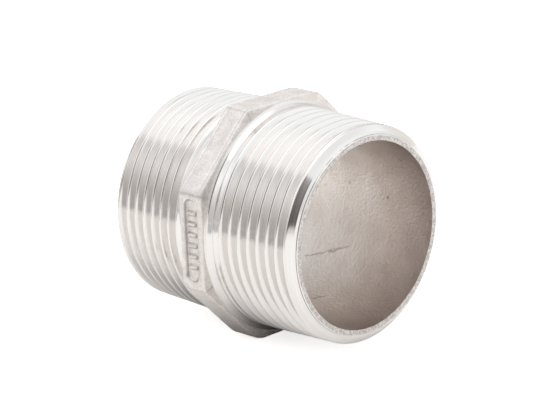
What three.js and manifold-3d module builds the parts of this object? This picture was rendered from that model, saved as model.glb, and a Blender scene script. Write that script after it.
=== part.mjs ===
// Hex nipple: a short stainless casting with a tapered pipe thread on each end, a wrench collar in
// the middle and a plain bore right through. Millimetres. +X runs along the bore, +Z is up and the
// middle of the bore is the origin. The wrench collar has eight flats, square to Y, Z and the
// diagonals between them, and the flat that faces -Y carries a shallow panel.
import * as THREE from "three";
import { mergeVertices } from "three/addons/utils/BufferGeometryUtils.js";
import Module from "manifold-3d";

// ---- Driving dimensions ----

const OVERALL_LENGTH = 47;
const BORE_DIAMETER = 35.5;

// R 1 1/4 tapered pipe thread: 11 turns to the inch, 55 degree rounded form, 1 in 16 on diameter.
const PITCH = 25.4 / 11;
const THREAD_DEPTH = 0.640327 * PITCH;
const FLAT_SHARE = 1 / 6; // share of the pitch taken by the crest, and by the root
const GAUGE_DIAMETER = 41.91; // over the crests, at the gauge plane
const GAUGE_LENGTH = 12.7; // from the end face to the gauge plane
const RADIAL_TAPER = 1 / 32;
const NECK_END = 4.2; // distance from the middle at which the thread begins to cut in
const RUN_OUT = 1.4; // the thread reaches full depth over this length
const NEAR_START = 2.87; // where a crest crosses the top of the +X thread
const FAR_START = 3.1; // the same for the -X thread

// End faces: a narrow ring, then a turned lead-in chamfer.
const RING_DIAMETER = 37.6;
const CHAMFER_SLOPE = 0.8; // axial length for each unit of radius

// Wrench collar.
const FLATS = 8;
const ACROSS_FLATS = 45;
const COLLAR_WIDTH = 4.9;
const CORNER_RADIUS = 2;
const SHOULDER_LENGTH = 0.6; // each shoulder slopes down over this length
const SHOULDER_DIAMETER = 43.2; // where the shoulder meets the turned neck

// Shallow panel on the -Y flat, with plain raised ribs in it.
const PANEL_LENGTH = 16;
const PANEL_WIDTH = 4;
const PANEL_DEPTH = 0.35;
const RIBS = 6;
const RIB_SPACING = 2.1;
const RIB_LENGTH = 2.4;
const RIB_WIDTH = 0.8;
const RIB_HEIGHT = 0.25;

const TURN_SEGMENTS = 40;
const COLLAR_SEGMENTS = 96;

// ---- Solids ----

const wasm = await Module();
wasm.setup();

// A closed three.js geometry as a solid that can be joined and cut.
function solidOf(geometry) {
  const bare = new THREE.BufferGeometry();
  bare.setAttribute("position", geometry.getAttribute("position"));
  if (geometry.index) bare.setIndex(geometry.index);
  const merged = mergeVertices(bare, 1e-5);
  const corners = merged.index.array;
  const triVerts = [];
  for (let i = 0; i < corners.length; i += 3) {
    const [a, b, c] = corners.slice(i, i + 3);
    if (a !== b && b !== c && c !== a) triVerts.push(a, b, c);
  }
  return new wasm.Manifold(
    new wasm.Mesh({
      numProp: 3,
      vertProperties: merged.attributes.position.array,
      triVerts: new Uint32Array(triVerts),
    }),
  );
}

function geometryOf(solid) {
  const mesh = solid.getMesh();
  const geometry = new THREE.BufferGeometry();
  geometry.setAttribute("position", new THREE.BufferAttribute(mesh.vertProperties, 3));
  geometry.setIndex(new THREE.BufferAttribute(mesh.triVerts, 1));
  geometry.computeVertexNormals();
  return geometry;
}

// A point at an angle about the X axis, counted from the top (+Z) towards -Y.
const around = (x, radius, angle) => [x, -radius * Math.sin(angle), radius * Math.cos(angle)];

// Closes a grid of rings about the X axis with a fan at each end. Each ring is a list of points,
// the first ring is the one at the lowest x, and all the rings have the same number of points.
function closeRings(rings) {
  const count = rings[0].length;
  const positions = rings.flat(2);
  const index = [];
  for (let row = 0; row + 1 < rings.length; row++) {
    for (let i = 0; i < count - 1; i++) {
      const a = row * count + i;
      const b = a + count;
      index.push(a, a + 1, b, a + 1, b + 1, b);
    }
  }
  const last = rings.length - 1;
  const firstCentre = positions.length / 3;
  positions.push(rings[0][0][0], 0, 0, rings[last][0][0], 0, 0);
  for (let i = 0; i < count - 1; i++) {
    index.push(firstCentre, i + 1, i);
    index.push(firstCentre + 1, last * count + i, last * count + i + 1);
  }
  const geometry = new THREE.BufferGeometry();
  geometry.setAttribute("position", new THREE.Float32BufferAttribute(positions, 3));
  geometry.setIndex(index);
  return geometry;
}

// A solid of revolution about the X axis from [x, radius] pairs that start and end on the axis.
function latheX(outline, segments) {
  const points = outline.map(([x, radius]) => new THREE.Vector2(radius, x));
  return new THREE.LatheGeometry(points, segments).rotateZ(-Math.PI / 2);
}

// ---- Tapered thread ----

const halfLength = OVERALL_LENGTH / 2;

function crestRadius(x) {
  const fromGauge = Math.abs(x) - (halfLength - GAUGE_LENGTH);
  return GAUGE_DIAMETER / 2 - fromGauge * RADIAL_TAPER;
}

// Groove depth as a share of the full depth, at a share of the pitch counted from a crest.
function grooveShape(share) {
  const fromCrest = Math.abs(share - Math.round(share));
  return THREE.MathUtils.clamp((fromCrest - FLAT_SHARE / 2) / (0.5 - FLAT_SHARE), 0, 1);
}

function threadRadius(x, angle, start) {
  const share = (x - start) / PITCH - angle / (2 * Math.PI);
  const cutIn = THREE.MathUtils.clamp((Math.abs(x) - NECK_END) / RUN_OUT, 0, 1);
  return crestRadius(x) - THREAD_DEPTH * cutIn * grooveShape(share);
}

// A right-hand threaded rod between two stations. Its rows of points follow the helix, along the
// two edges of the crest and the two edges of the root, and stop where the rod ends.
function threadedRod(lowX, highX, start) {
  const rowShares = [FLAT_SHARE / 2, 0.5 - FLAT_SHARE / 2, 0.5 + FLAT_SHARE / 2, 1 - FLAT_SHARE / 2];
  const firstTurn = Math.floor((lowX - start) / PITCH) - 2;
  const lastTurn = Math.ceil((highX - start) / PITCH) + 1;
  const rings = [];
  for (let turn = firstTurn; turn <= lastTurn; turn++) {
    for (const share of rowShares) {
      const ring = [];
      for (let i = 0; i <= TURN_SEGMENTS; i++) {
        const angle = (2 * Math.PI * i) / TURN_SEGMENTS;
        const helixX = start + PITCH * (turn + share + i / TURN_SEGMENTS);
        const x = THREE.MathUtils.clamp(helixX, lowX, highX);
        ring.push(around(x, threadRadius(x, i === TURN_SEGMENTS ? 0 : angle, start), angle));
      }
      rings.push(ring);
    }
  }
  return solidOf(closeRings(rings));
}

// ---- Wrench collar ----

// Distance from the axis to the rounded octagon.
function collarRadius(angle) {
  const step = (2 * Math.PI) / FLATS;
  const toFlat = ACROSS_FLATS / 2;
  const toArcCentre = toFlat - CORNER_RADIUS;
  const fromFlat = Math.abs(angle - step * Math.round(angle / step));
  const arcStart = Math.atan((toArcCentre * Math.tan(step / 2)) / toFlat);
  if (fromFlat <= arcStart) return toFlat / Math.cos(fromFlat);
  const cornerCentre = toArcCentre / Math.cos(step / 2);
  const fromCorner = step / 2 - fromFlat;
  const aside = cornerCentre * Math.sin(fromCorner);
  return cornerCentre * Math.cos(fromCorner) + Math.sqrt(CORNER_RADIUS ** 2 - aside ** 2);
}

function collar() {
  const ringAt = (x, radiusAt) =>
    Array.from({ length: COLLAR_SEGMENTS + 1 }, (_, i) => {
      const angle = (2 * Math.PI * i) / COLLAR_SEGMENTS;
      return around(x, radiusAt(angle), angle);
    });
  const foot = () => SHOULDER_DIAMETER / 2;
  const edge = COLLAR_WIDTH / 2;
  const end = edge + SHOULDER_LENGTH;
  const body = closeRings([
    ringAt(-end, foot),
    ringAt(-edge, collarRadius),
    ringAt(edge, collarRadius),
    ringAt(end, foot),
  ]);
  return solidOf(body);
}

// A straight-sided outline with round ends, made thick and laid on the -Y flat. It starts at the
// given distance below the flat's surface.
function padOnFlat(length, width, below, thickness, [x, z], turned) {
  const radius = width / 2;
  const straight = length / 2 - radius;
  const outline = new THREE.Shape();
  outline.absarc(straight, 0, radius, -Math.PI / 2, Math.PI / 2, false);
  outline.absarc(-straight, 0, radius, Math.PI / 2, (3 * Math.PI) / 2, false);
  const pad = new THREE.ExtrudeGeometry(outline, {
    depth: thickness,
    bevelEnabled: false,
    curveSegments: 8,
  });
  if (turned) pad.rotateZ(Math.PI / 2);
  pad.rotateX(Math.PI / 2);
  pad.translate(x, below - ACROSS_FLATS / 2, z);
  return solidOf(pad);
}

// The panel is cut from the flat and its ribs are put back, across the panel.
function withPanel(solid) {
  const clearance = 1;
  const panel = padOnFlat(
    PANEL_LENGTH,
    PANEL_WIDTH,
    PANEL_DEPTH,
    PANEL_DEPTH + clearance,
    [0, 0],
    true,
  );
  let result = solid.subtract(panel);
  const rooting = 0.3;
  for (let i = 0; i < RIBS; i++) {
    const z = (i - (RIBS - 1) / 2) * RIB_SPACING;
    const below = PANEL_DEPTH + rooting;
    const rib = padOnFlat(RIB_LENGTH, RIB_WIDTH, below, rooting + RIB_HEIGHT, [0, z], false);
    result = result.add(rib);
  }
  return result;
}

// ---- The casting ----

// Everything inside the end faces and the lead-in chamfers.
function endEnvelope() {
  const clear = 30;
  const ring = RING_DIAMETER / 2;
  const coneEnd = halfLength - (clear - ring) * CHAMFER_SLOPE;
  return solidOf(
    latheX(
      [
        [-halfLength, 0],
        [-halfLength, ring],
        [-coneEnd, clear],
        [coneEnd, clear],
        [halfLength, ring],
        [halfLength, 0],
      ],
      TURN_SEGMENTS * 2,
    ),
  );
}

function nippleBody() {
  const overlap = 1;
  const near = threadedRod(-overlap, halfLength + overlap, NEAR_START);
  const far = threadedRod(-halfLength - overlap, overlap, FAR_START);
  const bore = new THREE.CylinderGeometry(
    BORE_DIAMETER / 2,
    BORE_DIAMETER / 2,
    OVERALL_LENGTH + 2 * overlap,
    TURN_SEGMENTS * 2,
  ).rotateZ(Math.PI / 2);
  const blank = near.add(far).add(collar()).intersect(endEnvelope());
  return withPanel(blank).subtract(solidOf(bore));
}

const stainless = new THREE.MeshStandardMaterial({
  color: 0xc9c3bc,
  roughness: 0.35,
  metalness: 1,
});

const body = new THREE.Mesh(geometryOf(nippleBody()), stainless);
body.name = "nipple_body";

const hexNipple = new THREE.Group();
hexNipple.add(body);

export default hexNipple;
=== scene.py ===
"""Looks of the hex nipple: one stainless casting with turned threads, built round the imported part.

The whole casting is one closed skin. It is worked out in millimetres as rows of points round the
bore axis (+X) and scaled to metres at the end. Angles count from the top (+Z) towards -Y.
"""

import math

import bpy
import numpy as np
from mathutils import Matrix, Vector, noise


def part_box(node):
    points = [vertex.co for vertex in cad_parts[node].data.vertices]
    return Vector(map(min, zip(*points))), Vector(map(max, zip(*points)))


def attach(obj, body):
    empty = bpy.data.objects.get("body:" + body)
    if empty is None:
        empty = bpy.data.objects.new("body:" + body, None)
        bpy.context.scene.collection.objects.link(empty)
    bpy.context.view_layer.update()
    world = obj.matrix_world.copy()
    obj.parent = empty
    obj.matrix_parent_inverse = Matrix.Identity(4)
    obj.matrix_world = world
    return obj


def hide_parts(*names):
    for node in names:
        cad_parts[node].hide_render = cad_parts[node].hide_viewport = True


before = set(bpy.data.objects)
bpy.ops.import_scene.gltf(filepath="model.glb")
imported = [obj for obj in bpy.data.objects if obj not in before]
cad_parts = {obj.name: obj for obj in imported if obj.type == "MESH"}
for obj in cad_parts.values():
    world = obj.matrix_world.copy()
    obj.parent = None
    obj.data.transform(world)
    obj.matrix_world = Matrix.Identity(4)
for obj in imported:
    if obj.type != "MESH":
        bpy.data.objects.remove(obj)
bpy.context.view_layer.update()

MM = 0.001
low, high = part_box("nipple_body")
HALF_LENGTH = high.x / MM
FLAT_DISTANCE = high.z / MM  # from the bore axis to each wrench flat
FLOOR = low.z

# ---- Sizes, in millimetres ----
# The bore, the thread, the collar's flats and the overall box are the CAD part's. The edges of the
# collar, its panel and the small cuts at the ends are worked out finer here than in the CAD part.

BORE = 35.5 / 2
PITCH = 25.4 / 11
THREAD_DEPTH = 0.640327 * PITCH
ROUNDING = 0.137329 * PITCH  # radius of the rounded crests and roots
FLANK_ANGLE = math.radians(27.5)
GAUGE_RADIUS = 41.91 / 2
GAUGE_LENGTH = 12.7
RADIAL_TAPER = 1 / 32
NECK_END = 4.2
CUT_IN, RUN_OUT = 4.7, 1.2  # where the groove begins, and the length over which it gets full deep
NEAR_START, FAR_START = 2.87, 3.1  # where a crest crosses the top of the +X and of the -X thread

# End: a turned lead-in chamfer, a narrow flatter cut, then the low lip that carries the ring face.
THREAD_END = 21.5  # the groove fades out from here to the chamfer
CHAMFER_START = 22.1
CHAMFER_FOOT = (23.08, 19.33)  # (x, radius)
SECOND_FOOT = (23.24, 18.92)
LIP = 18.88
LIP_ROUNDING = 0.12
MOUTH_CHAMFER = 0.32  # width of the worn slope between the ring face and the bore

# Wrench collar, its cast shoulders and the turned step down to the neck.
FLATS = 8
CORNER_RADIUS = 2
SOFT_CORNER_RADIUS = 6
SOFT_CORNER = math.radians(157.5)  # this corner and the one opposite are cast rounder
FLAT_END = 1.74  # the plain middle of each flat ends here
EDGE = [  # (x, height above the flat): a groove, a low bead, then the rounded edge
    (1.9, -0.06), (2.02, -0.05), (2.2, 0.0), (2.4, 0.02), (2.56, 0.01), (2.66, -0.04), (2.74, -0.11),
    (2.8, -0.2), (2.84, -0.32), (2.85, -0.42),
]
FACET_START, FACET = 2.9, 22.05  # (x, radius) where the turned facet meets the cast shoulder
FACET_END, FACET_FOOT = 3.05, 21.62
NECK_START, NECK = 3.2, 21.47  # end of the cone below the facet; the neck slopes down from here
NECK_LEVEL = 3.78  # and runs level from here

# Shallow panel with plain raised ribs, on the flat that faces -Y.
PANEL_LENGTH, PANEL_WIDTH, PANEL_DEPTH = 16, 3.4, 0.5
PANEL_WALL = 0.2  # width of the slope down into the panel, and of the slopes of its ribs
RIM_BEAD, RIM_BEAD_AT, RIM_BEAD_WIDTH = 0.12, 0.2, 0.3  # a low bead round the panel
RIBS, RIB_SPACING, RIB_LENGTH, RIB_WIDTH, RIB_HEIGHT = 6, 2.1, 2.3, 0.9, 0.46
PANEL_ANGLE = math.radians(90)
PANEL_HALF_ANGLE = math.radians(21)

# How finely the skin is divided: columns round the axis, closer together over the panel, and rows.
PANEL_COLUMNS, OTHER_COLUMNS = 96, 190
FLAT_ROWS, CHAMFER_ROWS, RING_ROWS, BORE_ROWS = 29, 9, 5, 62

# ---- Columns ----


def column_angles():
    """Angles from 0 to a full turn, both ends included."""
    start, end = PANEL_ANGLE - PANEL_HALF_ANGLE, PANEL_ANGLE + PANEL_HALF_ANGLE
    before = round(OTHER_COLUMNS * start / (2 * math.pi - 2 * PANEL_HALF_ANGLE))
    return np.concatenate([
        np.linspace(0, start, before, endpoint=False),
        np.linspace(start, end, PANEL_COLUMNS, endpoint=False),
        np.linspace(end, 2 * math.pi, OTHER_COLUMNS - before + 1),
    ])


ANGLES = column_angles()


def smooth_step(value):
    value = np.clip(value, 0, 1)
    return value * value * (3 - 2 * value)


def hump(value, centre, width):
    """A smooth hump, 1 at its centre and 0 from one width away."""
    return 1 - smooth_step(np.abs(value - centre) / width)


# ---- Radii of the turned surfaces ----


def crest_radius(x):
    return GAUGE_RADIUS - (np.abs(x) - (HALF_LENGTH - GAUGE_LENGTH)) * RADIAL_TAPER


ARC_END = ROUNDING * math.cos(FLANK_ANGLE)  # where the rounding meets the straight flank


def groove_depth(from_crest):
    """Depth of the rounded 55 degree form at a distance along the axis from the nearest crest."""
    arc_drop = ROUNDING * (1 - math.sin(FLANK_ANGLE))
    crest_arc = ROUNDING - np.sqrt(np.maximum(ROUNDING**2 - from_crest**2, 0))
    flank = arc_drop + (from_crest - ARC_END) / math.tan(FLANK_ANGLE)
    to_root = PITCH / 2 - from_crest
    root_arc = THREAD_DEPTH - ROUNDING + np.sqrt(np.maximum(ROUNDING**2 - to_root**2, 0))
    return np.where(from_crest < ARC_END, crest_arc, np.where(to_root < ARC_END, root_arc, flank))


def chamfer_radius(x):
    """Radius of the lead-in chamfer's cone; it only cuts beyond its start."""
    foot_x, foot = CHAMFER_FOOT
    start = crest_radius(CHAMFER_START)
    return start + (np.abs(x) - CHAMFER_START) * (foot - start) / (foot_x - CHAMFER_START)


def thread_radius(x, angle, start):
    turns = (x - start) / PITCH - angle / (2 * math.pi)
    from_crest = np.abs(turns - np.round(turns)) * PITCH
    cut_in = smooth_step((np.abs(x) - CUT_IN) / RUN_OUT)
    fade = smooth_step((np.abs(x) - THREAD_END) / (CHAMFER_START - THREAD_END))
    thread = crest_radius(x) - cut_in * (1 - fade) * groove_depth(from_crest)
    return np.minimum(thread, chamfer_radius(x))


# ---- Radius of the wrench collar ----


def octagon_radius(angle):
    step = 2 * math.pi / FLATS
    soft = np.abs(np.mod(angle, math.pi) - SOFT_CORNER) < step / 2
    rounding = np.where(soft, SOFT_CORNER_RADIUS, CORNER_RADIUS)
    to_centre = FLAT_DISTANCE - rounding
    from_flat = np.abs(angle - step * np.round(angle / step))
    arc_start = np.arctan(to_centre * math.tan(step / 2) / FLAT_DISTANCE)
    centre = to_centre / math.cos(step / 2)
    from_corner = step / 2 - from_flat
    aside = np.minimum(centre * np.sin(from_corner), rounding)
    on_arc = centre * np.cos(from_corner) + np.sqrt(rounding**2 - aside**2)
    return np.where(from_flat < arc_start, FLAT_DISTANCE / np.cos(from_flat), on_arc)


def stadium_distance(along, across, length, width):
    """Distance outside a straight-sided outline with round ends; negative inside."""
    straight = (length - width) / 2
    return np.hypot(np.maximum(np.abs(along) - straight, 0), across) - width / 2


def panel_depth(x, angle):
    """How far the -Y flat is sunk by the panel, less its raised ribs."""
    on_flat = np.abs(angle - PANEL_ANGLE) < PANEL_HALF_ANGLE - 0.001
    height = FLAT_DISTANCE * np.tan(np.where(on_flat, PANEL_ANGLE - angle, 0))
    rim = stadium_distance(height, x, PANEL_LENGTH, PANEL_WIDTH)
    sunk = PANEL_DEPTH * smooth_step(-rim / PANEL_WALL)
    sunk = sunk - RIM_BEAD * hump(rim, RIM_BEAD_AT, RIM_BEAD_WIDTH)
    for i in range(RIBS):
        centre = (i - (RIBS - 1) / 2) * RIB_SPACING
        inside = -stadium_distance(x, height - centre, RIB_LENGTH, RIB_WIDTH)
        sunk = sunk - RIB_HEIGHT * smooth_step(inside / PANEL_WALL)
    return np.where(on_flat, sunk, 0)


# ---- Rows of the skin, from the far end along the outside, round and back through the bore ----

TURNED, CAST, RING_FACE, BORE_WALL = range(4)
rows = []  # (x of each column, radius of each column, material of the strip up to the next row)


def add_row(x, radius, material):
    count = len(ANGLES)
    x, radius = np.broadcast_to(x, count), np.broadcast_to(radius, count)
    rows.append((x.astype(float), radius.astype(float), material))


def add_outline(points, side, material):
    """Circular rows through (x, radius) points given from the middle of the part outwards."""
    for x, radius in points if side > 0 else points[::-1]:
        add_row(side * x, radius, material)


def end_outline():
    """The end from the chamfer's foot to the ring face, as (x, radius) points."""
    lip_start = SECOND_FOOT[0] + 0.06
    outline = [CHAMFER_FOOT, SECOND_FOOT, (lip_start, LIP)]
    for turn in (0, 30, 60, 90):
        along = LIP_ROUNDING * math.sin(math.radians(turn))
        outward = LIP_ROUNDING * math.cos(math.radians(turn))
        outline.append((HALF_LENGTH - LIP_ROUNDING + along, LIP - LIP_ROUNDING + outward))
    return outline


def add_chamfer(side, start):
    first, last = CHAMFER_START - 0.35, CHAMFER_FOOT[0] - 0.09
    stations = np.linspace(first, last, CHAMFER_ROWS)
    add_outline([(x, thread_radius(side * x, ANGLES, start)) for x in stations], side, TURNED)


def add_thread(low_x, high_x, start):
    """Rows that follow the helix: four over each crest and four over each root."""
    over = [-ARC_END, -ARC_END / 3, ARC_END / 3, ARC_END]
    offsets = over + [PITCH / 2 + offset for offset in over]
    first = math.floor((low_x - start) / PITCH) - 2
    last = math.ceil((high_x - start) / PITCH) + 1
    for turn in range(first, last + 1):
        for offset in offsets:
            helix = start + turn * PITCH + offset + PITCH * ANGLES / (2 * math.pi)
            if helix[-1] > low_x and helix[0] < high_x:
                x = np.clip(helix, low_x, high_x)
                add_row(x, thread_radius(x, ANGLES, start), TURNED)


def neck_outline():
    """The turned neck: a steep facet, a short cone, then a slope that levels out at the thread.

    Each corner is two rows close together, so that the shading turns sharply there.
    """
    scratch = 0.015  # a fine tool mark where the neck ends
    neck_end = crest_radius(NECK_END)
    return [
        (FACET_START, FACET),
        (FACET_START + 0.01, FACET - 0.03),
        (FACET_END - 0.01, FACET_FOOT + 0.03),
        (FACET_END + 0.02, FACET_FOOT - 0.025),
        (NECK_START - 0.02, NECK + 0.025),
        (NECK_START + 0.03, NECK - 0.01),
        (NECK_LEVEL, neck_end + 0.03),
        (NECK_END - 0.06, neck_end - 0.02),
        (NECK_END, neck_end - 0.02 - scratch),
        (NECK_END + 0.06, neck_end - 0.02),
        (NECK_END + 0.12, neck_end),
    ]


def add_collar():
    """The eight flats, each edge rounded over, and the cast shoulders."""
    octagon = octagon_radius(ANGLES)
    edge = [(x, octagon + height) for x, height in EDGE]
    top_x, top = edge[-1]
    shoulder_shares = (0.1, 0.4, 0.7, 0.95)  # from the edge down to the facet
    for share in shoulder_shares:
        edge.append((top_x + (FACET_START - top_x) * share, top + (FACET - top) * share))
    add_outline(edge, -1, CAST)
    tilt = np.cos(ANGLES - PANEL_ANGLE * np.round(ANGLES / PANEL_ANGLE))
    for x in np.linspace(-FLAT_END, FLAT_END, FLAT_ROWS):
        add_row(x, octagon - panel_depth(x, ANGLES) / tilt, CAST)
    add_outline(edge, 1, CAST)


def add_end_ring(side):
    """The flat ring face and the slope into the bore."""
    outer, inner = LIP - LIP_ROUNDING - 0.05, BORE + MOUTH_CHAMFER
    outline = [(HALF_LENGTH, radius) for radius in np.linspace(outer, inner, RING_ROWS)]
    outline.append((HALF_LENGTH - 0.03, BORE + 0.02))
    add_outline(outline, side, RING_FACE)


def add_bore():
    edge = HALF_LENGTH - 0.12
    for x in np.linspace(edge, -edge, BORE_ROWS):
        add_row(x, BORE, BORE_WALL)


def build_rows():
    thread_start, thread_end = NECK_END + 0.15, CHAMFER_START - 0.45
    add_outline(end_outline(), -1, TURNED)
    add_chamfer(-1, FAR_START)
    add_thread(-thread_end, -thread_start, FAR_START)
    add_outline(neck_outline(), -1, TURNED)
    add_collar()
    add_outline(neck_outline(), 1, TURNED)
    add_thread(thread_start, thread_end, NEAR_START)
    add_chamfer(1, NEAR_START)
    add_outline(end_outline(), 1, TURNED)
    add_end_ring(1)
    add_bore()
    add_end_ring(-1)


# ---- The skin as one mesh ----


def skin():
    """Points, quads and a material for each quad, with doubled points joined."""
    x = np.array([row[0] for row in rows])
    radius = np.array([row[1] for row in rows])
    points = np.stack([x, -radius * np.sin(ANGLES), radius * np.cos(ANGLES)], axis=-1)
    count = len(ANGLES)
    here, column = np.meshgrid(np.arange(len(rows)), np.arange(count - 1), indexing="ij")
    after = (here + 1) % len(rows)
    quads = np.stack([
        here * count + column,
        here * count + column + 1,
        after * count + column + 1,
        after * count + column,
    ], axis=-1).reshape(-1, 4)
    materials = np.repeat([row[2] for row in rows], count - 1)
    closeness = 1e-4
    grid = np.round(points.reshape(-1, 3) / closeness).astype(np.int64)
    _, kept, joined = np.unique(grid, axis=0, return_index=True, return_inverse=True)
    return points.reshape(-1, 3)[kept], joined.reshape(-1)[quads], materials


def roughen(points, on_cast, on_bore, on_ring):
    """Moves the points of the cast and sawn surfaces by soft hills and dents, in millimetres."""
    mouth = HALF_LENGTH - 0.3  # beyond this the bore's rim is ragged
    for i in np.flatnonzero(on_cast | on_bore | on_ring):
        p = Vector(points[i])
        radius = math.hypot(p.y, p.z)
        if on_ring[i]:
            dent = 0.03 * noise.noise(p * 1.6)
            points[i, 0] -= math.copysign(abs(dent), p.x)
            radial = 0.05 * noise.noise(p * 0.9 + Vector((7, 0, 0)))
        elif on_bore[i]:
            radial = 0.06 * noise.noise(p * 0.25) + 0.03 * noise.noise(p * 0.9)
            if abs(p.x) > mouth:
                radial += 0.1 + 0.16 * noise.noise(p * 0.6) + 0.14 * noise.noise(p * 1.7)
        else:
            radial = 0.04 * noise.noise(p * 0.35) + 0.035 * noise.noise(p * 1.5)
        points[i, 1:] *= 1 + radial / radius


def set_normals(mesh):
    """Lets the widest face at each point lead its normal, so that narrow rows don't bend it."""
    count = len(mesh.polygons)
    area, normal = np.empty(count), np.empty(count * 3)
    mesh.polygons.foreach_get("area", area)
    mesh.polygons.foreach_get("normal", normal)
    corners, corner_count = np.empty(len(mesh.loops), int), np.empty(count, int)
    mesh.loops.foreach_get("vertex_index", corners)
    mesh.polygons.foreach_get("loop_total", corner_count)
    area = area / MM**2
    weight = area**3
    weighted = np.repeat(normal.reshape(-1, 3) * weight[:, None], corner_count, axis=0)
    total = np.zeros((len(mesh.vertices), 3))
    np.add.at(total, corners, weighted)
    total /= np.linalg.norm(total, axis=1, keepdims=True)
    mesh.normals_split_custom_set_from_vertices(total.tolist())


def build_casting():
    build_rows()
    points, quads, materials = skin()
    faces, face_materials = [], []
    for quad, material in zip(quads.tolist(), materials.tolist()):
        corners = [c for i, c in enumerate(quad) if c != quad[i - 1]]
        if len(set(corners)) == len(corners) >= 3:
            faces.append(corners)
            face_materials.append(material)
    touched = np.zeros((BORE_WALL + 1, len(points)), bool)
    for corners, material in zip(faces, face_materials):
        touched[material, corners] = True
    turned, cast, ring, bore = touched
    roughen(points, cast & ~turned, bore, ring & ~turned & ~bore)
    mesh = bpy.data.meshes.new("nipple_casting")
    mesh.from_pydata((points * MM).tolist(), [], faces)
    mesh.polygons.foreach_set("material_index", face_materials)
    mesh.polygons.foreach_set("use_smooth", [True] * len(faces))
    mesh.update()
    set_normals(mesh)
    casting = bpy.data.objects.new("nipple_casting", mesh)
    bpy.context.scene.collection.objects.link(casting)
    return casting


# ---- Materials ----


class Nodes:
    """A short way to build a node tree."""

    def __init__(self, tree):
        self.tree = tree

    def add(self, kind, inputs=None, **settings):
        """A new node with its settings, and with a value or a link for each input named."""
        node = self.tree.nodes.new(kind)
        for key, value in settings.items():
            setattr(node, key, value)
        for key, value in (inputs or {}).items():
            self.plug(node.inputs[key], value)
        return node

    def plug(self, socket, value):
        if isinstance(value, bpy.types.NodeSocket):
            self.tree.links.new(value, socket)
        else:
            socket.default_value = value

    def maths(self, operation, a, b=0.0):
        return self.add("ShaderNodeMath", {0: a, 1: b}, operation=operation).outputs[0]

    def mapped(self, value, from_low, from_high, to_low=0.0, to_high=1.0, kind="LINEAR"):
        return self.add("ShaderNodeMapRange", {
            "Value": value,
            "From Min": from_low,
            "From Max": from_high,
            "To Min": to_low,
            "To Max": to_high,
        }, interpolation_type=kind).outputs[0]

    def ramp(self, factor, stops):
        """A colour ramp through (position, colour) stops."""
        node = self.add("ShaderNodeValToRGB", {"Fac": factor})
        ramp = node.color_ramp
        while len(ramp.elements) < len(stops):
            ramp.elements.new(1)
        for element, (position, colour) in zip(ramp.elements, stops):
            element.position = position
            element.color = (*colour, 1)
        return node.outputs["Color"]

    def mix(self, factor, first, second):
        node = self.add("ShaderNodeMix", {"Factor": factor}, data_type="RGBA")
        self.plug(node.inputs[6], first)
        self.plug(node.inputs[7], second)
        return node.outputs[2]

    def times(self, first, second):
        """Two colours multiplied."""
        node = self.add("ShaderNodeMix", {"Factor": 1.0}, data_type="RGBA", blend_type="MULTIPLY")
        self.plug(node.inputs[6], first)
        self.plug(node.inputs[7], second)
        return node.outputs[2]

    def parts(self, vector):
        """The X, Y and Z of a vector."""
        return self.add("ShaderNodeSeparateXYZ", {0: vector}).outputs

    def noise(self, vector, scale, detail=3.0, roughness=0.5):
        return self.add("ShaderNodeTexNoise", {
            "Vector": vector, "Scale": scale, "Detail": detail, "Roughness": roughness,
        }).outputs["Fac"]

    def bump(self, height, distance_mm, onto=None):
        node = self.add("ShaderNodeBump", {"Height": height, "Distance": distance_mm * MM})
        if onto is not None:
            self.plug(node.inputs["Normal"], onto)
        return node.outputs["Normal"]


class Finish(Nodes):
    """A surface finish on the Principled shader, with places counted in millimetres."""

    def __init__(self, name):
        self.material = bpy.data.materials.new(name)
        self.material.use_nodes = True
        super().__init__(self.material.node_tree)
        self.shader = self.tree.nodes["Principled BSDF"]
        place = self.add("ShaderNodeTexCoord").outputs["Object"]
        scaled = self.add("ShaderNodeVectorMath", {0: place}, operation="SCALE")
        scaled.inputs["Scale"].default_value = 1 / MM
        self.place = scaled.outputs[0]

    def set(self, **values):
        for key, value in values.items():
            self.plug(self.shader.inputs[key.replace("_", " ")], value)

    def round_axis(self, along, around):
        """Coordinates stretched along the turning direction."""
        parts = self.parts(self.place)
        angle = self.maths("ARCTAN2", parts[1], parts[2])
        return self.add("ShaderNodeCombineXYZ", {
            0: self.maths("MULTIPLY", parts[0], along),
            1: self.maths("MULTIPLY", self.maths("COSINE", angle), around),
            2: self.maths("MULTIPLY", self.maths("SINE", angle), around),
        }).outputs[0]

    def angle_from_top(self):
        """The angle about the axis in degrees, from -180 to 180."""
        parts = self.parts(self.place)
        angle = self.maths("ARCTAN2", self.maths("MULTIPLY", parts[1], -1), parts[2])
        return self.maths("MULTIPLY", angle, 180 / math.pi)


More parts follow.
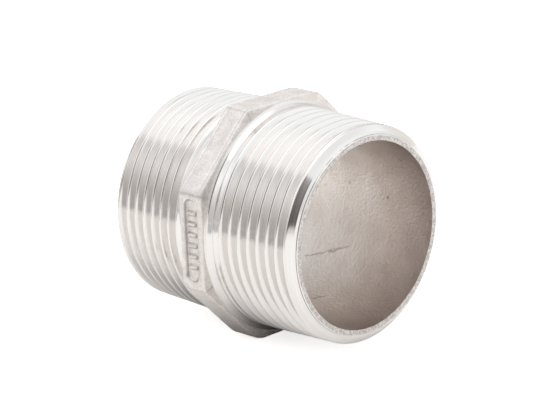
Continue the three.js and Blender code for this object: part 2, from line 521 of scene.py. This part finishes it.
def turned_steel():
    """Bright turned steel, with a painted shade line in the corner between the chamfer and the ring."""
    m = Finish("turned_steel")
    streaks = m.noise(m.round_axis(3.0, 1.2), 1.0, 4.0)
    lines = m.noise(m.round_axis(8.0, 1.0), 1.0, 2.0)
    clean = m.ramp(streaks, [(0.3, (0.75, 0.725, 0.705)), (0.7, (0.81, 0.785, 0.765))])
    parts = m.parts(m.place)
    # painted shade: a dark line in the corner between the chamfer and the ring, broken up except on the
    # -Y side
    corner_x, corner_width = HALF_LENGTH - 0.18, 0.09
    from_corner = m.maths("ABSOLUTE", m.maths("SUBTRACT", m.maths("ABSOLUTE", parts[0]), corner_x))
    corner = m.mapped(from_corner, corner_width * 0.5, corner_width, 1.0, 0.0)
    broken = m.mapped(m.noise(m.place, 0.5, 3.0), 0.42, 0.58, 0.1, 1.0)
    unbroken = m.mapped(parts[1], -16, -8, 1.0, 0.0)  # on the -Y side
    painted_corner_shade = m.maths("MULTIPLY", corner, m.maths("MAXIMUM", broken, unbroken))
    m.set(
        Metallic=1.0,
        Base_Color=m.mix(m.maths("MULTIPLY", painted_corner_shade, 0.85), clean, (0.1, 0.09, 0.09, 1)),
        Roughness=m.mapped(streaks, 0.3, 0.7, 0.11, 0.17),
        Anisotropic=0.6,
        Anisotropic_Rotation=0.25,
        Tangent=m.add("ShaderNodeTangent", direction_type="RADIAL", axis="X").outputs[0],
        Normal=m.bump(lines, 0.003),
    )
    return m.material


def crease(m, along, across, length, width, foot):
    """A thin line round a straight-sided outline with round ends, as a mask."""
    past = m.maths("MAXIMUM", m.maths("SUBTRACT", along, (length - width) / 2), 0)
    squares = m.maths("ADD", m.maths("POWER", past, 2), m.maths("POWER", across, 2))
    rim = m.maths("SUBTRACT", m.maths("SQRT", squares), width / 2)
    from_foot = m.maths("ABSOLUTE", m.maths("SUBTRACT", rim, foot))
    core, edge = 0.03, 0.17
    return m.mapped(from_foot, core, edge, 1.0, 0.0)


def panel_crease_shade(m):
    """Painted shade lines at the foot of the panel's wall and of its ribs, as a mask."""
    parts = m.parts(m.place)
    along, across = m.maths("ABSOLUTE", parts[2]), m.maths("ABSOLUTE", parts[0])
    wall_foot, rib_foot = -0.12, 0.0  # from each outline, outwards
    wall = crease(m, along, across, PANEL_LENGTH, PANEL_WIDTH, wall_foot)
    half_spacing = RIB_SPACING / 2
    from_rib = m.maths("SUBTRACT", half_spacing, m.maths("PINGPONG", along, half_spacing))
    ribs = crease(m, across, from_rib, RIB_LENGTH, RIB_WIDTH, rib_foot)
    ribs = m.maths("MULTIPLY", ribs, m.maths("LESS_THAN", along, RIBS * half_spacing))
    lines = m.maths("MAXIMUM", wall, m.maths("MULTIPLY", ribs, 0.7))
    on_flat = m.maths("LESS_THAN", parts[1], -20)
    return m.maths("MULTIPLY", lines, on_flat)


def cast_steel():
    """Blasted investment casting: a fine even grain, painted shade in the panel's creases, and darker
    along the corners.
    """
    m = Finish("blasted_casting")
    grain = m.noise(m.place, 2.6, 3.0, 0.65)
    pits = m.noise(m.place, 6.0, 2.0)
    patches = m.noise(m.place, 0.5, 4.0)
    shade = m.ramp(patches, [(0.34, (0.75, 0.715, 0.69)), (0.64, (0.86, 0.82, 0.79))])
    half_flat = 180 / FLATS
    angle = m.angle_from_top()
    from_middle = m.maths("PINGPONG", m.maths("SUBTRACT", angle, 0.8), half_flat)
    corner_line = m.mapped(from_middle, half_flat - 0.9, half_flat - 0.1, kind="SMOOTHSTEP")
    hard_corner = math.degrees(SOFT_CORNER) - 90  # the corner half-way between the two soft ones
    from_hard = m.maths("PINGPONG", m.maths("SUBTRACT", angle, hard_corner), 90)
    less_on_soft = m.mapped(from_hard, 70, 80, 1.0, 0.15)
    corner_line = m.maths("MULTIPLY", corner_line, less_on_soft)
    shade = m.mix(m.maths("MULTIPLY", corner_line, 0.5), shade, (0.5, 0.45, 0.43, 1))
    # painted shade in the creases of the panel and round its ribs
    shade = m.mix(m.maths("MULTIPLY", panel_crease_shade(m), 0.5), shade, (0.3, 0.27, 0.26, 1))
    speckle = m.ramp(grain, [(0.36, (0.86, 0.845, 0.84)), (0.6, (1, 1, 1))])
    m.set(
        Metallic=1.0,
        Base_Color=m.times(shade, speckle),
        Roughness=m.mapped(grain, 0.3, 0.7, 0.34, 0.5),
        Normal=m.bump(pits, 0.03, m.bump(grain, 0.1)),
    )
    return m.material


def stroke(m, start, end, width):
    """A thin wavering line on the bore between two (x in mm, angle in degrees) places, as a mask."""
    along = m.parts(m.place)[0]
    slope = (end[1] - start[1]) / (end[0] - start[0])
    on_line = m.maths("ADD", m.maths("MULTIPLY", along, slope), start[1] - slope * start[0])
    waver = m.mapped(m.noise(m.place, 0.6, 4.0), 0.3, 0.7, -1.2, 1.2)
    aside = m.maths("SUBTRACT", m.maths("ADD", on_line, waver), m.angle_from_top())
    near = m.mapped(m.maths("ABSOLUTE", aside), 0, width, 1.0, 0.0)
    fade = 0.8
    begun = m.mapped(along, start[0], start[0] + fade)
    not_ended = m.mapped(along, end[0], end[0] - fade)
    return m.maths("MULTIPLY", near, m.maths("MULTIPLY", begun, not_ended))


def pit(m, x, angle, radius):
    """A dark speck on the bore, as a mask."""
    turn = math.radians(angle)
    centre = (x, -BORE * math.sin(turn), BORE * math.cos(turn))
    between = m.add("ShaderNodeVectorMath", {0: m.place, 1: centre}, operation="DISTANCE")
    return m.mapped(between.outputs["Value"], 0.4 * radius, radius, 1.0, 0.0)


def bore_steel():
    """The bore as it was cast: finely pebbled, with seams and pits; painted light in its middle, so
    darker and browner towards each mouth, and painted shade along its top and bottom.
    """
    m = Finish("cast_bore")
    pebbles = m.noise(m.place, 1.7, 2.0, 0.5)
    grain = m.noise(m.place, 3.5, 2.0, 0.6)
    parts = m.parts(m.place)
    # painted light: the middle of the bore is painted lighter, where light reaching in falls, and each
    # mouth darker and browner
    to_mouth = m.mapped(m.maths("ABSOLUTE", parts[0]), 7, 22)
    shade = m.ramp(to_mouth, [
        (0, (0.96, 0.91, 0.87)), (0.5, (0.8, 0.73, 0.685)), (1, (0.57, 0.505, 0.475)),
    ])
    patches = m.ramp(m.noise(m.place, 0.2, 4.0), [(0.35, (0.92, 0.905, 0.89)), (0.65, (1, 1, 1))])
    # painted shade: the bore is darker along its bottom and its top
    painted_height_shade = m.ramp(m.mapped(parts[2], -12, 18), [
        (0, (0.82, 0.815, 0.81)), (0.45, (1, 1, 1)), (0.7, (1, 1, 1)), (1, (0.8, 0.78, 0.775)),
    ])
    shade = m.times(painted_height_shade, m.times(shade, patches))
    long_seam = stroke(m, (-5.5, -137), (4.7, -123), 1.0)
    short_seam = stroke(m, (4, -168), (7, -160), 1.6)
    marks = m.maths("MAXIMUM", long_seam, short_seam)
    for x, angle, radius in ((12.3, -87, 0.45), (2.5, -83, 0.3), (18.6, -55, 0.4)):
        marks = m.maths("MAXIMUM", marks, pit(m, x, angle, radius))
    m.set(
        Metallic=1.0,
        Base_Color=m.mix(m.maths("MULTIPLY", marks, 0.65), shade, (0.3, 0.2, 0.15, 1)),
        Roughness=m.mapped(grain, 0.3, 0.7, 0.38, 0.5),
        Normal=m.bump(grain, 0.04, m.bump(pebbles, 0.1)),
    )
    return m.material


def ring_steel():
    """The end face: sawn and filed, so grainier and duller than the turned cone beside it."""
    m = Finish("faced_ring")
    grain = m.noise(m.place, 2.4, 3.0, 0.6)
    m.set(
        Metallic=1.0,
        Base_Color=m.ramp(grain, [(0.38, (0.42, 0.395, 0.38)), (0.6, (0.69, 0.66, 0.635))]),
        Roughness=m.mapped(grain, 0.3, 0.7, 0.36, 0.5),
        Normal=m.bump(grain, 0.12),
    )
    return m.material


# ---- Studio ----


def flat_panel(name, corners, material):
    """A flat stage panel, in metres."""
    mesh = bpy.data.meshes.new(name)
    mesh.from_pydata(corners, [], [(0, 1, 2, 3)])
    mesh.materials.append(material)
    panel = bpy.data.objects.new(name, mesh)
    bpy.context.scene.collection.objects.link(panel)
    return panel


def plain(name, colour, glow=0.0):
    """A dull even colour that may also glow."""
    material = bpy.data.materials.new(name)
    material.use_nodes = True
    shader = material.node_tree.nodes["Principled BSDF"]
    shader.inputs["Base Color"].default_value = (*colour, 1)
    shader.inputs["Roughness"].default_value = 0.9
    shader.inputs["Specular IOR Level"].default_value = 0.1
    shader.inputs["Emission Color"].default_value = (1, 1, 1, 1)
    shader.inputs["Emission Strength"].default_value = glow
    return material


def build_floor():
    """A white table that glows, so that its shadow hardly shows to the camera.

    In reflections it glows less, and a painted contact shadow darkens it where the part stands on it.
    """
    white = (0.9, 0.88, 0.86)
    reflected_glow, seen_glow = 0.17, 0.72
    contact_x, contact_y = 16 * MM, 20 * MM  # half sizes of the painted contact shadow
    material = plain("floor_white", white)
    f = Nodes(material.node_tree)
    shader = material.node_tree.nodes["Principled BSDF"]
    seen = f.add("ShaderNodeLightPath").outputs["Is Camera Ray"]
    parts = f.parts(f.add("ShaderNodeTexCoord").outputs["Object"])
    x_squared = f.maths("POWER", f.maths("DIVIDE", parts[0], contact_x), 2)
    y_squared = f.maths("POWER", f.maths("DIVIDE", parts[1], contact_y), 2)
    distance = f.maths("SQRT", f.maths("ADD", x_squared, y_squared))
    # painted contact shadow under the part, seen only in reflections
    painted_contact_shadow = f.mapped(distance, 0.2, 1.2, 0.08, 1.0, kind="SMOOTHSTEP")
    shade = f.maths("MAXIMUM", painted_contact_shadow, seen)
    glow = f.mapped(seen, 0, 1, reflected_glow, seen_glow)
    f.plug(shader.inputs["Emission Strength"], f.maths("MULTIPLY", glow, shade))
    f.plug(shader.inputs["Base Color"], f.mix(shade, (0, 0, 0, 1), (*white, 1)))
    half = 6.0
    square = ((-half, -half), (half, -half), (half, half), (-half, half))
    flat_panel("floor", [(x, y, FLOOR) for x, y in square], material)


def build_low_screen():
    """A low grey screen that closes the white table on the -Y side; only reflections see it."""
    y, near_x, far_x, top = -170 * MM, 60 * MM, -500 * MM, 2 * MM
    corners = [(near_x, y, FLOOR), (near_x, y, top), (far_x, y, top), (far_x, y, FLOOR)]
    screen = flat_panel("low_screen", corners, plain("screen_grey", (0, 0, 0), glow=0.64))
    screen.visible_camera = False
    screen.visible_diffuse = False
    screen.visible_shadow = False


def build_world():
    """A white light tent with a bright top, a greyer front and one dark gap near the camera.

    Directions are in degrees: azimuth from +X towards +Y, and elevation. The camera sees plain white.
    """
    world = bpy.data.worlds.new("studio")
    bpy.context.scene.world = world
    world.use_nodes = True
    w = Nodes(world.node_tree)
    direction = w.add("ShaderNodeTexCoord").outputs["Generated"]
    parts = w.parts(direction)
    elevation = w.maths("MULTIPLY", w.maths("ARCSINE", parts[2]), 180 / math.pi)
    azimuth = w.maths("MULTIPLY", w.maths("ARCTAN2", parts[1], parts[0]), 180 / math.pi)

    def by_elevation(stops):
        """A colour for each elevation, from (elevation, brightness, tint) stops."""
        lowest, highest = -20, 90
        placed = []
        for stop, brightness, tint in stops:
            share = (stop - lowest) / (highest - lowest)
            placed.append((share, [channel * brightness for channel in tint]))
        return w.ramp(w.mapped(elevation, lowest, highest), placed)

    def between(value, start, end, edge):
        """A mask that is 1 from start to end and fades over the edge at either side."""
        rise_from, rise_to = w.maths("SUBTRACT", start, edge), w.maths("ADD", start, edge)
        fall_from, fall_to = w.maths("SUBTRACT", end, edge), w.maths("ADD", end, edge)
        rise = w.mapped(value, rise_from, rise_to, kind="SMOOTHSTEP")
        fall = w.mapped(value, fall_from, fall_to, 1.0, 0.0, kind="SMOOTHSTEP")
        return w.maths("MULTIPLY", rise, fall)

    warm, plain_white = (1, 0.97, 0.94), (1, 0.99, 0.985)
    cool, clear = (0.985, 1.0, 1.015), (0.955, 1.0, 1.01)
    behind = by_elevation([
        (-20, 0.92, warm), (0, 0.95, warm), (11, 0.98, warm), (23, 1.02, plain_white), (40, 1.0, cool),
        (54, 1.05, cool), (66, 1.54, cool), (74, 1.7, cool), (90, 1.8, cool),
    ])
    front = by_elevation([
        (-8, 0.64, warm), (0, 0.64, plain_white), (8, 0.67, plain_white), (15, 0.75, plain_white),
        (23, 0.93, plain_white), (29, 1.08, cool), (37, 1.24, cool), (46, 1.16, cool), (52, 1.07, cool),
        (57.5, 1.07, cool), (59, 1.58, cool), (75, 1.7, cool), (90, 1.8, cool),
    ])
    right = by_elevation([
        (-20, 0.8, warm), (0, 0.82, warm), (6, 0.96, plain_white), (14, 1.16, clear), (20, 1.23, clear),
        (28, 1.2, clear), (36, 1.08, cool), (48, 1.08, cool), (60, 1.4, cool), (75, 1.75, cool),
        (90, 1.75, cool),
    ])

    soft, sharp = 3, 1
    front_start, front_end, right_end = -150, -62, 76
    surroundings = w.mix(between(azimuth, front_start, front_end, soft), behind, front)
    surroundings = w.mix(between(azimuth, front_end, right_end, soft), surroundings, right)

    gap_left, gap_bottom, gap_highest = -60, 4, 46
    gap_top = w.maths("MINIMUM", w.maths("SUBTRACT", 24, azimuth), gap_highest)
    gap_right = w.mapped(elevation, gap_bottom, 32, -17, -8)
    across_gap = between(azimuth, gap_left, gap_right, sharp)
    up_gap = between(elevation, gap_bottom, gap_top, sharp)
    in_gap = w.ramp(w.mapped(elevation, 0, 45), [(0, (0.07, 0.06, 0.06)), (1, (0.34, 0.31, 0.31))])
    surroundings = w.mix(w.maths("MULTIPLY", across_gap, up_gap), surroundings, in_gap)

    seen = w.add("ShaderNodeLightPath").outputs["Is Camera Ray"]
    background = world.node_tree.nodes["Background"]
    w.plug(background.inputs["Color"], w.mix(seen, surroundings, (1, 1, 1, 1)))


def build_camera():
    """A long lens that looks at the +X end and the -Y side from a little above."""
    azimuth, elevation, roll = math.radians(45), math.radians(17.1), math.radians(-2.135)
    distance = 0.545
    aim = Vector((0.33, 0.51, 0.41)) * MM
    back = Vector((
        math.sin(azimuth) * math.cos(elevation),
        -math.cos(azimuth) * math.cos(elevation),
        math.sin(elevation),
    ))
    data = bpy.data.cameras.new("camera")
    data.sensor_width = 36
    data.lens = 185.27
    data.clip_start, data.clip_end = 0.01, 20
    camera = bpy.data.objects.new("camera", data)
    bpy.context.scene.collection.objects.link(camera)
    turn = (-back).to_track_quat("-Z", "Y").to_matrix() @ Matrix.Rotation(roll, 3, "Z")
    camera.matrix_world = Matrix.Translation(aim + back * distance) @ turn.to_4x4()
    bpy.context.scene.camera = camera


casting = build_casting()
for material in (turned_steel(), cast_steel(), ring_steel(), bore_steel()):
    casting.data.materials.append(material)
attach(casting, "root")
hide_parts("nipple_body")
build_floor()
build_low_screen()
build_world()
build_camera()
bpy.context.scene.view_settings.view_transform = "Standard"
